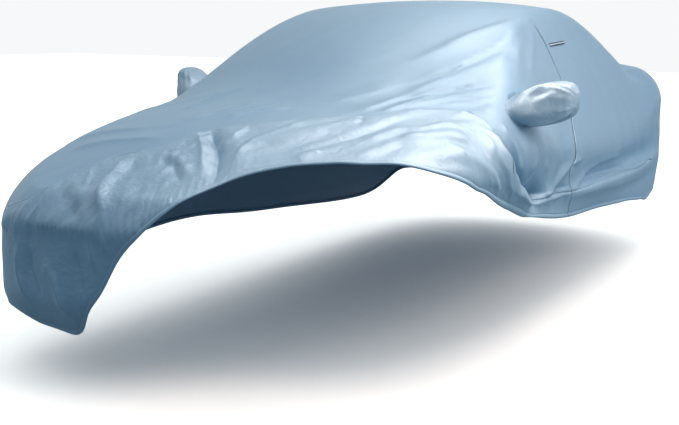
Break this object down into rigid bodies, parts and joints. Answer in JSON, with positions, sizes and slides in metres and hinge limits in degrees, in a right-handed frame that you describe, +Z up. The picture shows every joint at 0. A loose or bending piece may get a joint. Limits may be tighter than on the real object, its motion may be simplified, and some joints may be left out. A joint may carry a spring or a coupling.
{
  "type": "car cover",
  "caption": "Fitted car cover of light blue cloth, with pockets for the side mirrors, a zip down one side and the hem of one front corner pushed up.",
  "frame": {"origin": "under the top of the cover, where the roof of the covered car holds it up", "axes": "+X is the cover's left side, +Y its back and +Z up"},
  "size_m": [1.91, 4.2171, 1.1754],
  "materials": {
    "cloth": "light blue woven polyester with a soft sheen",
    "zip_tape": "dark blue zip tape",
    "woven_tag": "navy and white woven stripes"
  },
  "bodies": {
    "root": {"top_panel": "cloth", "skirt": "cloth", "side_pocket_left": "cloth", "side_pocket_right": "cloth", "side_zip": "zip_tape", "tag": "woven_tag"}
  },
  "joints": []
}
